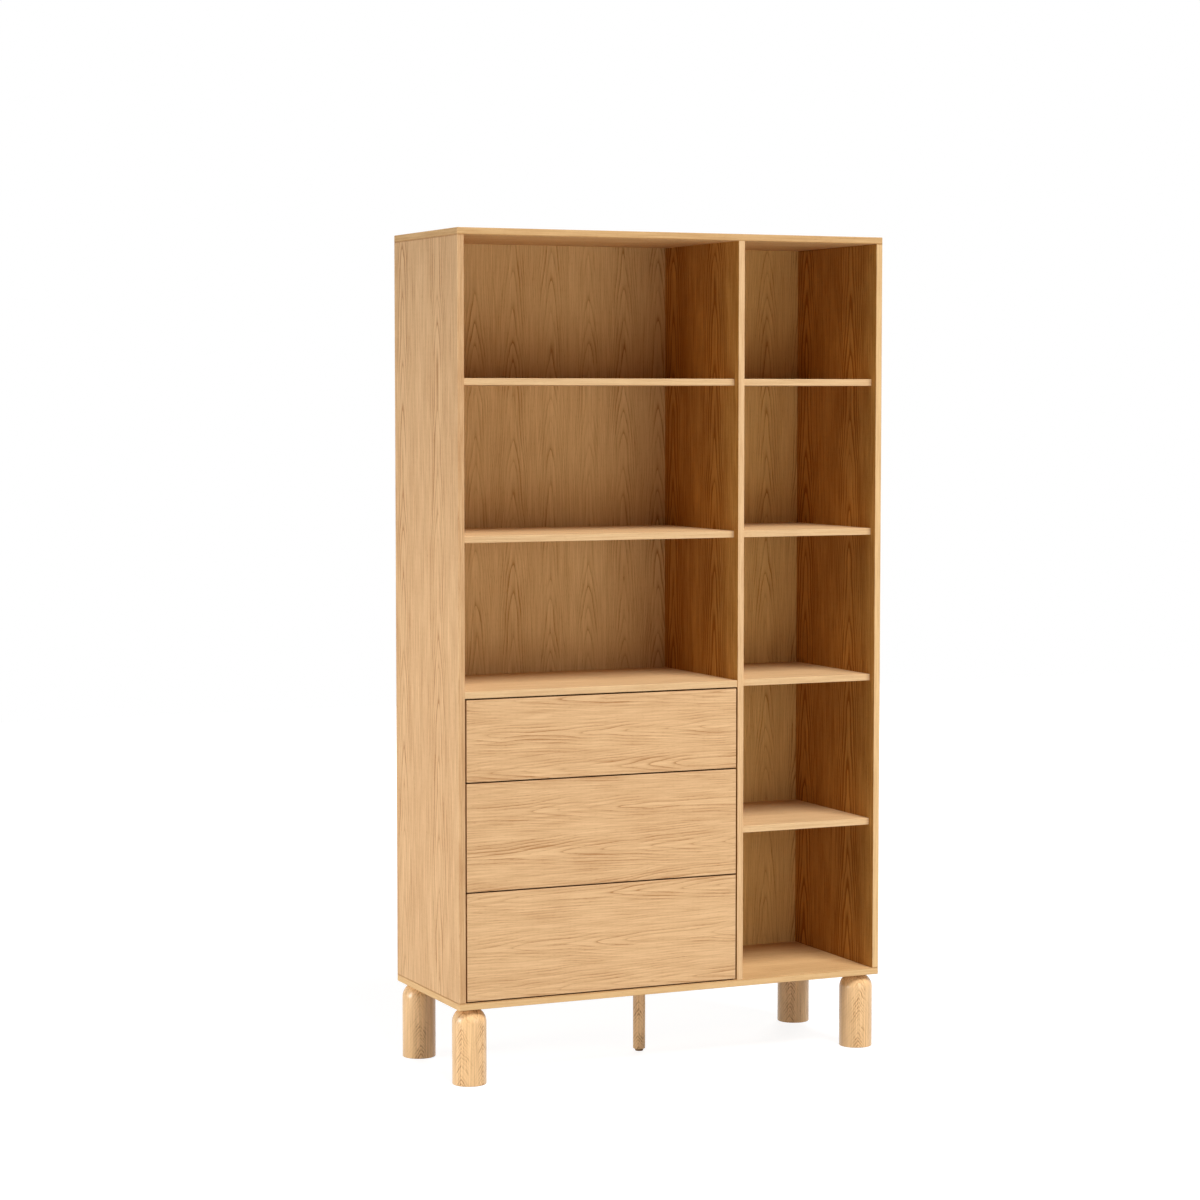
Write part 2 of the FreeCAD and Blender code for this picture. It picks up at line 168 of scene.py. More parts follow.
grain = {
    "coarse": (80.0, 0.02),        # noise scale, and how much of it is left along the grain
    "medium": (240.0, 0.03),
    "fine": (700.0, 0.03),
    "coarseShare": 0.18,
    "mediumShare": 0.58,
    "fineShare": 0.24,
    "pores": (1500.0, 0.05, 1.0),  # with the noise's detail
    "poreRange": (0.62, 0.73),
    "poresOnLines": 0.14,
    "noiseRoughness": 0.6,
    "poreRoughness": 0.20,
    "fibreRoughness": 0.16,
    "lineDepth": 0.35,             # against the pores' depth
    "bumpDistance": 0.00012,
    "bumpStrength": 0.6,
}


def oakColour(wiring, line, across, along, depth, tone, look):
    # colour, roughness and height from a ring line and the fibres that run along
    def streaks(scale, stretch, detail=2.0):
        place = wiring.join(across, wiring.times(along, stretch), depth)
        return wiring.noise(place, scale, detail, grain["noiseRoughness"])

    fibres = wiring.times(streaks(*grain["fine"]), grain["fineShare"])
    fibres = wiring.timesPlus(streaks(*grain["coarse"]), grain["coarseShare"], fibres)
    fibres = wiring.timesPlus(streaks(*grain["medium"]), grain["mediumShare"], fibres)
    poreNoise = wiring.timesPlus(line, grain["poresOnLines"], streaks(*grain["pores"]))
    pores = wiring.ramp(poreNoise, *grain["poreRange"])
    dark = wiring.timesPlus(line, look["lineWeight"], look["middle"])
    dark = wiring.timesPlus(wiring.centred(fibres), look["fibreWeight"] * 2.0, dark)
    dark = wiring.timesPlus(pores, look["poreWeight"], dark)
    dark = wiring.plus(tone, dark)
    colour = wiring.blend(dark, look["pale"], look["deep"])
    roughness = wiring.vary(fibres, look["roughness"], grain["fibreRoughness"])
    roughness = wiring.timesPlus(pores, grain["poreRoughness"], roughness)
    height = wiring.times(wiring.timesPlus(line, grain["lineDepth"], pores), -1.0)
    return colour, roughness, height


def finishWood(wiring, shader, colour, roughness, height, look):
    wiring.put(shader.inputs["Base Color"], colour)
    wiring.put(shader.inputs["Roughness"], roughness)
    shader.inputs["Specular IOR Level"].default_value = look["specular"]
    addBump(wiring, shader, height, grain["bumpDistance"], grain["bumpStrength"])


# Oak veneer: sliced leaves side by side, each with pointed arches of growth rings

veneer = {
    "faceFrom": 0.7,               # a face counts as square to an axis from this share of its normal
    "edgeTo": 0.3,
    "wanderStep": 3.7,             # an arch's middle strays along its leaf
    "wanderAlong": 1.6,
    "wanderReach": 0.2,
    "rippleAlong": 0.07,
    "rippleNoise": (55.0, 2.0, 0.55),
    "rippleReach": 0.008,
    "tipRadius": 0.0032,
    "strideStep": 1.9,             # the rings' spacing is uneven along the leaf
    "strideShift": 11.0,
    "strideAlong": 3.1,
    "strideReach": 4.5,
    "leafShift": 20.0,
    "ringStep": 1.31,              # steps from one random ring to the next
    "leafStep": 17.0,
    "riseTo": 0.07,                # a ring's line: its start, its dark edge and its slow fade
    "edgePower": 9.0,
    "edgeShare": 0.45,
    "fadeShare": 0.85,
    "fadeFrom": 0.001,
    "fadeReach": 1.2,
    "fadeAtTip": 1.4,
    "fadeAside": 1.6,
    "ringLuck": (0.9, 0.45),
    "patchAlong": 0.25,            # the figure is stronger in some patches
    "patchShift": 5.0,
    "patchScale": 24.0,
    "patchRange": (0.3, 0.7, 0.35, 1.25),
    "middleReach": 0.004,          # and weaker at the leaf's rims and on the board's edges
    "rimReach": 0.42,
    "rimShare": 0.45,
    "edgeFigure": 0.25,
    "slowAlong": 0.2,
    "slowShift": 9.0,
    "slowScale": 9.0,
    # painted shade: the dark line along each glued joint stands in for the shade in the groove where the
    # panels meet
    "jointReach": (0.0008, 0.0022),
    "jointGrooveShade": 0.9,
}


def pickAxes(wiring, along, across, thick, alongSign):
    # board coordinates: on the boards' end faces the grain follows the face's length
    coordinates = wiring.coordinates()
    place = wiring.split(coordinates["Object"])
    facing = wiring.split(coordinates["Normal"])
    end = wiring.calc("GREATER_THAN", wiring.size(facing[along]), veneer["faceFrom"])
    lengthwise = wiring.times(place[along], alongSign)
    v = wiring.choose(end, lengthwise, place[across])
    u = wiring.choose(end, wiring.plus(place[across], place[thick]), wiring.plus(lengthwise, place[thick]))
    return u, v, wiring.size(facing[thick]), place, facing


def ringLine(wiring, u, v, leaf, a, luck, seed, tipSpacing, ringSpacing, tighten):
    # the arches: rings at distance a from the leaf's middle, dark where each one starts
    square = wiring.times(a, a)
    arch = wiring.over(wiring.calc("SQRT", wiring.plus(square, veneer["tipRadius"] ** 2)), ringSpacing)
    arch = wiring.timesPlus(square, tighten, arch)
    stridePlace = wiring.join(wiring.timesPlus(leaf, veneer["strideStep"], seed + veneer["strideShift"]),
                              wiring.times(v, veneer["strideAlong"]))
    stride = wiring.noise(stridePlace, 1.0)
    shift = wiring.timesPlus(stride, veneer["strideReach"], wiring.times(luck, veneer["leafShift"]))
    rings = wiring.plus(wiring.plus(wiring.over(v, tipSpacing), arch), shift)
    phase = wiring.calc("FRACT", rings)
    ringSeed = wiring.timesPlus(leaf, veneer["leafStep"], seed)
    ringLuck = wiring.chance(wiring.timesPlus(wiring.calc("FLOOR", rings), veneer["ringStep"], ringSeed))
    left = wiring.minus(1.0, phase)
    atTip = veneer["fadeAtTip"] + tipSpacing / ringSpacing * 0.5
    sharpness = wiring.ramp(wiring.size(a), veneer["fadeFrom"], ringSpacing * veneer["fadeReach"], atTip,
                            veneer["fadeAside"])
    slow = wiring.times(wiring.calc("POWER", left, sharpness), veneer["fadeShare"])
    fade = wiring.timesPlus(wiring.calc("POWER", left, veneer["edgePower"]), veneer["edgeShare"], slow)
    line = wiring.times(wiring.ramp(phase, 0.0, veneer["riseTo"]), fade)
    line = wiring.times(line, wiring.timesPlus(ringLuck, *veneer["ringLuck"]))
    patchPlace = wiring.join(u, wiring.times(v, veneer["patchAlong"]), seed + veneer["patchShift"])
    patch = wiring.noise(patchPlace, veneer["patchScale"], 1.0)
    return wiring.times(line, wiring.ramp(patch, *veneer["patchRange"]))


def oakBoard(name, along="Z", across="X", thick="Y", alongSign=1.0, leafWidth=0.118, leafStart=0.0,
             tipSpacing=0.105, ringSpacing=0.013, tighten=1650.0, drift=0.22, seed=0.0, tone=0.0, figure=1.0,
             look=oakLook, seams=(), edgeToneAndShade=0.0, faceAt=0.0, bayShadeAndFigure=None):
    # faceAt is the main face's place through the board, seams are the axis and place of each glued joint,
    # where a dark line is painted as the shade in the groove, edgeToneAndShade deepens the faces at the
    # board's edges (pales them below zero), on the drawer fronts as painted shade for the gaps between them,
    # and inner is the look, tone and figure of the face that looks into the bays, towards -X or -Y, whose
    # look and tone are painted shade for the bays
    material, wiring, shader = startMaterial(name)
    u, v, side, place, facing = pickAxes(wiring, along, across, thick, alongSign)
    face = wiring.calc("GREATER_THAN", side, veneer["faceFrom"])
    leaves = wiring.over(wiring.minus(u, leafStart + faceAt), leafWidth)
    leaf = wiring.calc("FLOOR", leaves)
    inLeaf = wiring.times(wiring.centred(wiring.calc("FRACT", leaves)), leafWidth)
    luckColour = wiring.chance(wiring.plus(leaf, seed), "Color")
    luck = wiring.add("ShaderNodeSeparateColor", {0: luckColour}).node.outputs
    wanderPlace = wiring.join(wiring.timesPlus(leaf, veneer["wanderStep"], seed),
                              wiring.times(v, veneer["wanderAlong"]))
    wander = wiring.times(wiring.centred(wiring.noise(wanderPlace, 1.0)), drift * veneer["wanderReach"])
    offset = wiring.times(wiring.centred(luck[0]), leafWidth * drift)
    ripplePlace = wiring.join(u, wiring.times(v, veneer["rippleAlong"]), seed)
    ripple = wiring.centred(wiring.noise(ripplePlace, *veneer["rippleNoise"]))
    a = wiring.minus(wiring.minus(inLeaf, offset), wander)
    a = wiring.plus(a, wiring.times(ripple, veneer["rippleReach"]))
    line = ringLine(wiring, u, v, leaf, a, luck[1], seed, tipSpacing, ringSpacing, tighten)
    away = wiring.ramp(wiring.size(a), veneer["middleReach"], leafWidth * veneer["rimReach"], 1.0,
                       veneer["rimShare"])
    line = wiring.times(line, wiring.times(away, wiring.choose(face, veneer["edgeFigure"], figure)))
    slowPlace = wiring.join(u, wiring.times(v, veneer["slowAlong"]), seed + veneer["slowShift"])
    slow = wiring.centred(wiring.noise(slowPlace, veneer["slowScale"]))
    shade = wiring.timesPlus(slow, look["toneWeight"], tone)
    shade = wiring.timesPlus(wiring.centred(luck[2]), look["leafToneWeight"], shade)
    # edge faces deeper, or paler below zero; on the drawer fronts this is painted shade, dark edges for the
    # gaps between the fronts
    if edgeToneAndShade:
        shade = wiring.timesPlus(wiring.calc("LESS_THAN", side, veneer["edgeTo"]), edgeToneAndShade, shade)
    # painted shade: the faces that look into the bays get their own deeper, more saturated colour and a
    # darker tone for the shade that falls in the bays; the stronger figure is the wood's own
    if bayShadeAndFigure:
        bayShadeLook, bayShadeTone, innerFigure = bayShadeAndFigure
        inside = wiring.calc("LESS_THAN", facing[thick], -veneer["faceFrom"])
        line = wiring.times(line, wiring.choose(inside, 1.0, innerFigure))
        shade = wiring.timesPlus(inside, bayShadeTone, shade)
        look = dict(look, pale=wiring.blend(inside, look["pale"], bayShadeLook["pale"]),
                    deep=wiring.blend(inside, look["deep"], bayShadeLook["deep"]))
    # painted shade: a dark line along each joint, for the shade in the groove between the panels
    for axis, position in seams:
        gap = wiring.size(wiring.minus(place[axis], position))
        upright = wiring.calc("LESS_THAN", wiring.size(facing[axis]), 0.5)
        joint = wiring.times(upright, wiring.ramp(gap, *veneer["jointReach"], 1.0, 0.0))
        shade = wiring.timesPlus(joint, veneer["jointGrooveShade"], shade)
    finishWood(wiring, shader, *oakColour(wiring, line, u, v, seed, shade, look), look)
    return material


def dress(material, *names):
    for name in names:
        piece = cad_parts[name]
        piece.data.materials.clear()
        piece.data.materials.append(material)


sideLook = dict(oakLook, pale=(0.785, 0.510, 0.268, 1.0), deep=(0.44, 0.214, 0.085, 1.0),
                fibreWeight=1.10, lineWeight=0.72)
outerLook = dict(sideLook, pale=(0.800, 0.530, 0.262, 1.0), deep=(0.45, 0.222, 0.080, 1.0), fibreWeight=1.0)
frontLook = dict(oakLook, pale=(0.785, 0.506, 0.266, 1.0), deep=(0.44, 0.214, 0.083, 1.0), fibreWeight=1.0)
# painted shade: the colour of the walls' faces in the bays, deeper and more saturated for their shade
bayWallShadeLook = dict(oakLook, pale=(0.740, 0.410, 0.115, 1.0), deep=(0.36, 0.140, 0.020, 1.0))
shelfLook = dict(oakLook, pale=(0.790, 0.535, 0.285, 1.0), deep=(0.46, 0.240, 0.100, 1.0))
# painted shade: the back boards' faces into the bays get colours for the hue of their shade, greener on the
# left and with less blue on the right
leftBackShadeLook = dict(oakLook, pale=(0.800, 0.545, 0.250, 1.0), deep=(0.45, 0.230, 0.067, 1.0))
rightBackShadeLook = dict(oakLook, pale=(0.815, 0.532, 0.198, 1.0), deep=(0.455, 0.222, 0.050, 1.0))

flatBoard = {"along": "X", "across": "Y", "thick": "Z", "alongSign": -1.0}
uprightBoard = {"along": "Z", "across": "Y", "thick": "X", "leafWidth": 0.225, "leafStart": -0.187,
                "tipSpacing": 0.13, "ringSpacing": 0.024, "tighten": 800.0, "drift": 0.05}
backBoard = {"leafWidth": 0.098, "leafStart": -0.0942, "tipSpacing": 0.075, "ringSpacing": 0.0145,
             "drift": 0.10, "figure": 1.2}
# the fronts' edgeToneAndShade is painted shade: their edges are darkened so that the gaps between the drawers
# look dark
frontBoard = {"along": "X", "across": "Z", "thick": "Y", "alongSign": -1.0, "faceAt": -0.2025,
              "tipSpacing": 0.125, "ringSpacing": 0.0095, "tighten": 800.0, "drift": 0.08, "figure": 1.2,
              "edgeToneAndShade": 0.40}
floorJoint, ceilingJoint = ("Z", 0.196), ("Z", 1.954)     # where the sides meet the two long panels
# the bay faces' look and darker tone are painted shade, and their stronger figure is the wood's own
bayWallShade = (bayWallShadeLook, 0.20, 2.0)
shelfNames = ("shelf_left_upper", "shelf_left_lower", "drawer_bay_top", "shelf_right_lowest",
              "shelf_right_lower", "shelf_right_upper", "shelf_right_highest")
drawerNames = ("bottom", "middle", "top")
frontLeaves = {
    # a leaf's middle, its width and the front's tone; the lower fronts are paler, painted light for the
    # brighter light low down
    "bottom": (0.320, 0.106, -0.06),
    "middle": (0.631, 0.096, -0.03),
    "top": (0.808, 0.081, 0.0),
}

dress(oakBoard("oakTop", seed=3.0, figure=0.6, edgeToneAndShade=0.12, seams=[ceilingJoint], **flatBoard), "top_panel")
dress(oakBoard("oakBottom", seed=8.0, figure=0.5, edgeToneAndShade=-0.14, seams=[floorJoint], **flatBoard),
      "bottom_panel")
dress(oakBoard("oakLeftSide", seed=21.0, figure=1.2, edgeToneAndShade=0.25, faceAt=-0.55, look=sideLook,
               seams=[floorJoint, ceilingJoint], **uprightBoard), "left_side")
dress(oakBoard("oakRightSide", seed=34.0, figure=1.5, edgeToneAndShade=-0.06, faceAt=0.534, look=outerLook,
               seams=[floorJoint, ceilingJoint], bayShadeAndFigure=bayWallShade, **uprightBoard), "right_side")
dress(oakBoard("oakDivider", seed=47.0, figure=1.5, edgeToneAndShade=-0.12, faceAt=0.163, look=sideLook, bayShadeAndFigure=bayWallShade,
               **uprightBoard), "divider")
# the backs' colours on their faces into the bays are painted shade
dress(oakBoard("oakBackLeft", seed=52.0, bayShadeAndFigure=(leftBackShadeLook, 0.0, 1.0), **backBoard), "back_board_left")
dress(oakBoard("oakBackRight", seed=67.0, bayShadeAndFigure=(rightBackShadeLook, 0.0, 1.0), **backBoard), "back_board_right")
for step, name in enumerate(shelfNames):
    oak = oakBoard("oakShelf%d" % step, seed=71.0 + step * 3.3, figure=0.5, look=shelfLook, **flatBoard)
    dress(oak, name)
for step, name in enumerate(drawerNames):
    middle, width, tone = frontLeaves[name]
    oak = oakBoard("oakFront" + name.capitalize(), leafWidth=width, leafStart=middle - width / 2.0,
                   seed=101.0 + step * 6.1, tone=tone, look=frontLook, **frontBoard)
    dress(oak, "drawer_%s_front" % name)
print("oak boards dressed")


# Turned legs of solid oak

legLook = dict(oakLook, pale=(0.96, 0.620, 0.305, 1.0), roughness=0.21, specular=0.45, middle=0.19,
               lineWeight=0.85, fibreWeight=1.05)
# painted light: the support leg, in the shade under the case, gets a paler copy of the legs' oak, with less
# of the deep colour between the lines
centreLegPaintedLightLook = dict(legLook, middle=0.04)

chevrons = {
    "bendAlong": 0.5,
    "bendScale": 34.0,
    "bendReach": 0.010,
    "bendRings": 2.2,
    "tipRadius": 0.0012,
    "slope": 1.5,
    "ringsPerMetre": 98.0,
    "halfShift": 7.3,              # rings between the two halves
    "riseTo": 0.25,
    "fadePower": 1.3,
    "dashAlong": 0.13,             # each line is made of short dashes
    "dashNoise": (640.0, 2.0, 0.6),
    "dashRange": (0.40, 0.60, 0.2, 1.7),
    "ringLuck": (0.9, 0.25),
    "patchAlong": 0.6,
    "patchShift": 4.0,
    "patchScale": 42.0,
    "patchRange": (0.3, 0.62, 0.35, 1.3),
    "rimRange": (0.006, 0.020, 1.0, 0.15),
    "slowAlong": 0.3,
    "slowScale": 30.0,
    "slowWeight": 0.26,
}


def turnedOak(name, centre, facing, secondFacing, seed, look=legLook):
    # two glued halves, each with its own row of narrow chevrons
    material, wiring, shader = startMaterial(name)
    place = wiring.coordinates()["Object"]
    x, y, z = wiring.split(wiring.add("ShaderNodeVectorMath", {0: place, 1: centre}, operation="SUBTRACT"))

    def outward(degrees):
        angle = math.radians(degrees)
        return wiring.timesPlus(x, math.sin(angle), wiring.times(y, -math.cos(angle)))

    half = wiring.calc("GREATER_THAN", outward((facing + secondFacing) / 2.0 + 90.0), 0.0)
    sideways = wiring.choose(half, outward(facing + 90.0), outward(secondFacing + 90.0))
    bendPlace = wiring.join(sideways, wiring.times(z, chevrons["bendAlong"]), seed)
    bend = wiring.noise(bendPlace, chevrons["bendScale"])
    shifted = wiring.timesPlus(wiring.centred(bend), chevrons["bendReach"], sideways)
    spread = wiring.calc("SQRT", wiring.timesPlus(shifted, shifted, chevrons["tipRadius"] ** 2))
    shift = wiring.timesPlus(bend, chevrons["bendRings"], wiring.times(half, chevrons["halfShift"]))
    rings = wiring.timesPlus(wiring.timesPlus(spread, chevrons["slope"], z), chevrons["ringsPerMetre"], shift)
    phase = wiring.calc("FRACT", rings)
    luck = wiring.chance(wiring.plus(wiring.calc("FLOOR", rings), seed))
    fade = wiring.calc("POWER", wiring.minus(1.0, phase), chevrons["fadePower"])
    line = wiring.times(wiring.ramp(phase, 0.0, chevrons["riseTo"]), fade)
    around = wiring.plus(sideways, x)
    dashPlace = wiring.join(around, wiring.times(z, chevrons["dashAlong"]), y)
    dashes = wiring.noise(dashPlace, *chevrons["dashNoise"])
    line = wiring.times(line, wiring.ramp(dashes, *chevrons["dashRange"]))
    line = wiring.times(line, wiring.timesPlus(luck, *chevrons["ringLuck"]))
    patchPlace = wiring.join(sideways, wiring.times(z, chevrons["patchAlong"]), seed + chevrons["patchShift"])
    patch = wiring.noise(patchPlace, chevrons["patchScale"], 1.0)
    line = wiring.times(line, wiring.ramp(patch, *chevrons["patchRange"]))
    line = wiring.times(line, wiring.ramp(spread, *chevrons["rimRange"]))
    slow = wiring.noise(wiring.join(x, y, wiring.times(z, chevrons["slowAlong"])), chevrons["slowScale"])
    shade = wiring.times(wiring.centred(slow), chevrons["slowWeight"])
    finishWood(wiring, shader, *oakColour(wiring, line, around, z, y, shade, look), look)
    return material


# Modelling helpers

smoothAngle = 35.0       # degrees between faces that are shaded as one
mergeDistance = 1e-6
closeEnough = 1e-5


def startPiece(name):
    piece = bpy.context.object
    piece.name = name
    piece.data.name = name
    return piece


def clearSelection():
    bpy.ops.object.select_all(action="DESELECT")


def selectOnly(piece):
    clearSelection()
    piece.select_set(True)
    bpy.context.view_layer.objects.active = piece


def pickEdges(piece, test):
    # selects, in edit mode, the edges whose two ends pass the test
    mesh = bmesh.from_edit_mesh(piece.data)
    bpy.ops.mesh.select_mode(type="EDGE")
    bpy.ops.mesh.select_all(action="DESELECT")
    for edge in mesh.edges:
        edge.select_set(all(test(vertex.co) for vertex in edge.verts))
    bmesh.update_edit_mesh(piece.data)


def pickFaces(piece, test):
    mesh = bmesh.from_edit_mesh(piece.data)
    bpy.ops.mesh.select_mode(type="FACE")
    bpy.ops.mesh.select_all(action="DESELECT")
    for face in mesh.faces:
        face.select_set(test(face))
    bmesh.update_edit_mesh(piece.data)


def settle(piece):
    # the finished piece's object sits at the origin, with its place in its mesh
    selectOnly(piece)
    bpy.ops.object.transform_apply(location=True, rotation=True, scale=True)
    bpy.ops.object.shade_smooth_by_angle(angle=math.radians(smoothAngle))


def copyTo(piece, name, shift):
    selectOnly(piece)
    bpy.ops.object.duplicate(linked=False)
    made = startPiece(name)
    bpy.ops.transform.translate(value=shift)
    bpy.ops.object.transform_apply(location=True, rotation=False, scale=False)
    return made


def spreadOut(first, places):
    # joins copies of a piece that stands on the origin, one at each place and facing each way
    copies = []
    for place, facing in places:
        selectOnly(first)
        bpy.ops.object.duplicate(linked=False)
        copy = bpy.context.object
        copy.location = place
        copy.rotation_euler = facing.to_track_quat("Z", "Y").to_euler()
        copies.append(copy)
    name = first.name
    bpy.data.objects.remove(first)
    clearSelection()
    for copy in copies:
        copy.select_set(True)
    bpy.context.view_layer.objects.active = copies[0]
    bpy.ops.object.join()
    piece = startPiece(name)
    settle(piece)
    return piece


def turnProfile(name, points, steps):
    # points are radius and height, from the axis at the bottom to the axis at the top
    clearSelection()
    bpy.ops.mesh.primitive_plane_add(size=0.001)
    piece = startPiece(name)
    bpy.ops.object.mode_set(mode="EDIT")
    bpy.ops.mesh.select_all(action="SELECT")
    bpy.ops.mesh.merge(type="CENTER")
    bpy.ops.mesh.select_mode(type="VERT")
    bpy.ops.mesh.select_all(action="SELECT")
    bpy.ops.transform.translate(value=(points[0][0], 0.0, points[0][1]))
    for (oldRadius, oldHeight), (radius, height) in zip(points, points[1:]):
        move = {"value": (radius - oldRadius, 0.0, height - oldHeight)}
        bpy.ops.mesh.extrude_region_move(TRANSFORM_OT_translate=move)
    bpy.ops.mesh.select_all(action="SELECT")
    bpy.ops.mesh.spin(steps=steps, angle=math.tau, center=(0.0, 0.0, 0.0), axis=(0.0, 0.0, 1.0))
    bpy.ops.mesh.select_all(action="SELECT")
    bpy.ops.mesh.remove_doubles(threshold=mergeDistance)
    bpy.ops.mesh.normals_make_consistent(inside=False)
    bpy.ops.object.mode_set(mode="OBJECT")
    settle(piece)
    return piece


def give(piece, material, body, node):
    piece.data.materials.clear()
    piece.data.materials.append(material)
    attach(piece, body)
    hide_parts(node)


# The four legs and the support leg

legShape = {
    "radius": 0.040,
    "height": 0.180,
    "lift": 0.001,                 # above the floor, on the glide
    "domeRadius": 0.034,
    "domeSteps": 20,
    "baseRound": 0.0015,
    "baseSteps": 4,
    "gliderRadius": 0.032,
    "gliderThickness": 0.003,
    "gliderPlay": 0.0002,
    "vertices": 96,
    "centres": {"leg_front_left": (-0.51, -0.1625, 0.0), "leg_front_right": (0.51, -0.1625, 0.0),
                "leg_rear_left": (-0.51, 0.1625, 0.0), "leg_rear_right": (0.51, 0.1625, 0.0)},
    # degrees round each leg to the middles of its two halves
    "facings": {"leg_front_left": (-48.0, 32.0), "leg_front_right": (-18.0, 70.0),
                "leg_rear_left": (-16.0, 90.0), "leg_rear_right": (-40.0, 50.0)},
}

centreLegShape = {
    "radius": 0.015,
    "low": 0.006,
    "high": 0.180,
    "edge": 0.001,
    "boreRadius": 0.0042,
    "boreTop": 0.0402,
    "sinkRadius": 0.0056,
    "sinkTop": 0.0181,
    "vertices": 64,
    "facings": (-30.0, 70.0),
    "seed": 5.5,
}


def makeLeg(shape, name, centre):
    depth = shape["height"] - shape["lift"]
    clearSelection()
    bpy.ops.mesh.primitive_cylinder_add(vertices=shape["vertices"], radius=shape["radius"], depth=depth,
                                        location=(centre[0], centre[1], shape["lift"] + depth / 2.0))
    leg = startPiece(name)
    bpy.ops.object.mode_set(mode="EDIT")
    pickEdges(leg, lambda co: co.z > depth / 2.0 - closeEnough)
    bpy.ops.mesh.bevel(offset=shape["domeRadius"], segments=shape["domeSteps"], profile=0.5,
                       clamp_overlap=False)
    pickEdges(leg, lambda co: co.z < -depth / 2.0 + closeEnough)
    bpy.ops.mesh.bevel(offset=shape["baseRound"], segments=shape["baseSteps"], profile=0.5)
    pickFaces(leg, lambda face: face.normal.z < -0.99 and face.calc_area() > 0.001)
    rim = shape["radius"] - shape["baseRound"] - shape["gliderRadius"] - shape["gliderPlay"]
    bpy.ops.mesh.inset(thickness=rim)
    recess = {"value": (0.0, 0.0, shape["gliderThickness"] - shape["lift"])}
    bpy.ops.mesh.extrude_region_move(TRANSFORM_OT_translate=recess)
    bpy.ops.object.mode_set(mode="OBJECT")
    settle(leg)
    return leg


def makeCentreLeg(shape):
    edge, radius, low, high = shape["edge"], shape["radius"], shape["low"], shape["high"]
    points = [(0.0, shape["boreTop"]), (shape["boreRadius"], shape["boreTop"]),
              (shape["boreRadius"], shape["sinkTop"]), (shape["sinkRadius"], shape["sinkTop"]),
              (shape["sinkRadius"], low)]
    turns = [math.pi / 2.0 * step / 3.0 for step in range(4)]
    points += [(radius - edge + edge * math.sin(turn), low + edge - edge * math.cos(turn)) for turn in turns]
    points += [(radius - edge + edge * math.cos(turn), high - edge + edge * math.sin(turn)) for turn in turns]
    points.append((0.0, high))
    return turnProfile("turned_centre_leg", points, shape["vertices"])


firstLeg = None
for name, centre in legShape["centres"].items():
    if firstLeg is None:
        firstCentre = centre
        leg = firstLeg = makeLeg(legShape, "turned_" + name, centre)
    else:
        leg = copyTo(firstLeg, "turned_" + name, [b - a for a, b in zip(firstCentre, centre)])
    seed = centre[0] * 9.0 + centre[1] * 31.0
    oak = turnedOak("oakTurned_" + name, centre, *legShape["facings"][name], seed)
    give(leg, oak, "root", name)
centreOak = turnedOak("oakCentreLeg", (0.0, 0.0, 0.0), *centreLegShape["facings"], centreLegShape["seed"],
                      centreLegPaintedLightLook)
give(makeCentreLeg(centreLegShape), centreOak, "root", "centre_leg")
print("legs turned")


# Plastic, felt, steel and plywood

def plainNoise(wiring, scale, detail=3.0, stretch=(1.0, 1.0, 1.0)):
    place = wiring.coordinates()["Object"]
    place = wiring.add("ShaderNodeVectorMath", {0: place, 1: stretch}, operation="MULTIPLY")
    return wiring.noise(place, scale, detail)


def moulded(name, colour, deeper, roughness):
    # matt plastic with a fine spark-eroded texture and faint flow marks
    material, wiring, shader = startMaterial(name)
    grit = plainNoise(wiring, scale=3200.0)
    flow = plainNoise(wiring, scale=60.0, detail=1.0)
    wiring.put(shader.inputs["Base Color"], wiring.blend(wiring.ramp(flow, 0.3, 0.7), colour, deeper))
    wiring.put(shader.inputs["Roughness"], wiring.vary(grit, roughness, spread=0.2))
    addBump(wiring, shader, grit, distance=0.00004, strength=0.5)
    return material


def feltCloth(name, colour, deeper):
    material, wiring, shader = startMaterial(name)
    fuzz = plainNoise(wiring, scale=1400.0, detail=4.0)
    clumps = plainNoise(wiring, scale=220.0)
    wiring.put(shader.inputs["Base Color"], wiring.blend(wiring.times(fuzz, clumps), colour, deeper))
    shader.inputs["Roughness"].default_value = 0.95
    shader.inputs["Sheen Weight"].default_value = 0.3
    addBump(wiring, shader, fuzz, distance=0.0003, strength=0.9)
    return material


def plated(name, colour, deeper, roughness, stretch=(1.0, 1.0, 1.0)):
    # zinc-plated steel: rolling marks along the stretch and a cloudy bloom
    material, wiring, shader = startMaterial(name)
    marks = plainNoise(wiring, scale=1600.0, stretch=stretch)
    bloom = plainNoise(wiring, scale=70.0, detail=2.0)
    wiring.put(shader.inputs["Base Color"], wiring.blend(wiring.times(bloom, marks), colour, deeper))
    wiring.put(shader.inputs["Roughness"], wiring.vary(marks, roughness, spread=0.22))
    shader.inputs["Metallic"].default_value = 1.0
    addBump(wiring, shader, marks, distance=0.00003, strength=0.5)
    return material


birchLook = dict(oakLook, pale=(0.76, 0.60, 0.40, 1.0), deep=(0.52, 0.34, 0.18, 1.0), lineWeight=0.16,
                 poreWeight=0.06, fibreWeight=0.30, toneWeight=0.34)
plyLook = {
    "layer": 0.00145,              # thickness of one layer
    "layerShift": 5000.0,          # keeps the count above zero
    "layerTone": 0.45,
    "slowAlong": 0.25,
    "slowNoise": (14.0, 3.0, 0.5, 0.6),
    "waves": 14.0,
}


